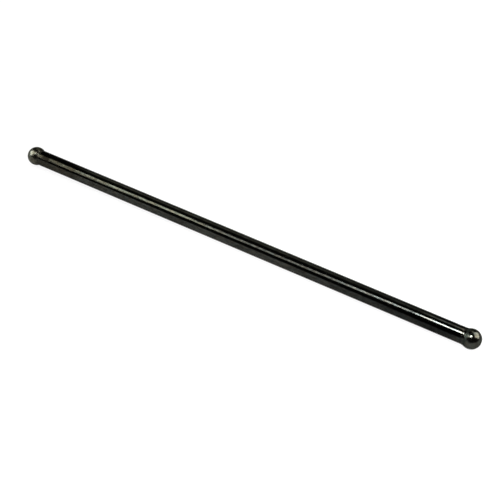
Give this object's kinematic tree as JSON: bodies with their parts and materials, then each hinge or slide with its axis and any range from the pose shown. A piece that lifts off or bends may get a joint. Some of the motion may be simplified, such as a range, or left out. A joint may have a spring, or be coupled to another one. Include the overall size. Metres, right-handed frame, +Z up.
{
  "type": "engine pushrod",
  "caption": "Slim tubular engine pushrod in black-finished steel, with a drilled ball end at each tip that carries valve lift from a lifter to a rocker arm and lets oil through.",
  "frame": {"origin": "centre of the lifter ball, on the rod's axis", "axes": "+X along the rod from the lifter ball to the rocker ball, +Z up with the rod lying level, +Y across"},
  "size_m": [0.2497, 0.0096, 0.0096],
  "materials": {
    "tube_steel": "polished tube with a thin black oxide and an oily sheen",
    "ball_steel": "polished hardened ball, black oxide worn a little on the crown"
  },
  "bodies": {
    "root": {"tube": "tube_steel", "lifter_ball_end": "ball_steel", "rocker_ball_end": "ball_steel"}
  },
  "joints": []
}
